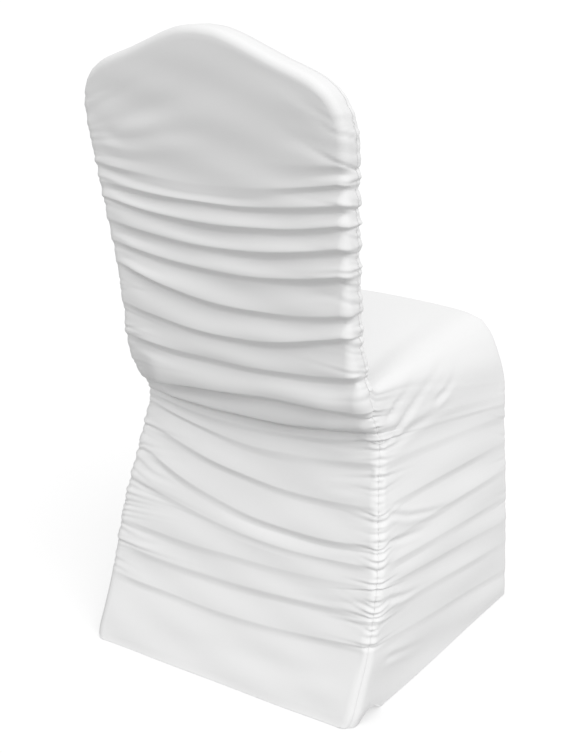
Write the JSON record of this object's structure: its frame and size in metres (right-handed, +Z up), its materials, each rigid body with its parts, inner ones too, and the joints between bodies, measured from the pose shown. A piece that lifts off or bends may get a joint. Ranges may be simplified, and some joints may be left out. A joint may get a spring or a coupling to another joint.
{
  "type": "fitted chair cover",
  "caption": "Fitted white stretch-knit chair cover, hollow and open at the hem, with a slim backrest sleeve, a seat panel and a full-length skirt drawn into creases.",
  "frame": {"origin": "on the floor at the middle of the cover's footprint", "axes": "+Z up, +Y towards the back of the chair, -Y towards the front skirt, +X to the left of a person seated on it"},
  "size_m": [0.471, 0.5573, 0.9269],
  "materials": {
    "white_knit": "smooth stretch knit, matt with a faint satin sheen"
  },
  "bodies": {
    "root": {"outside_back_panel": "white_knit", "inside_back_panel": "white_knit", "seat_and_sides_panel": "white_knit", "front_skirt_panel": "white_knit"}
  },
  "joints": []
}
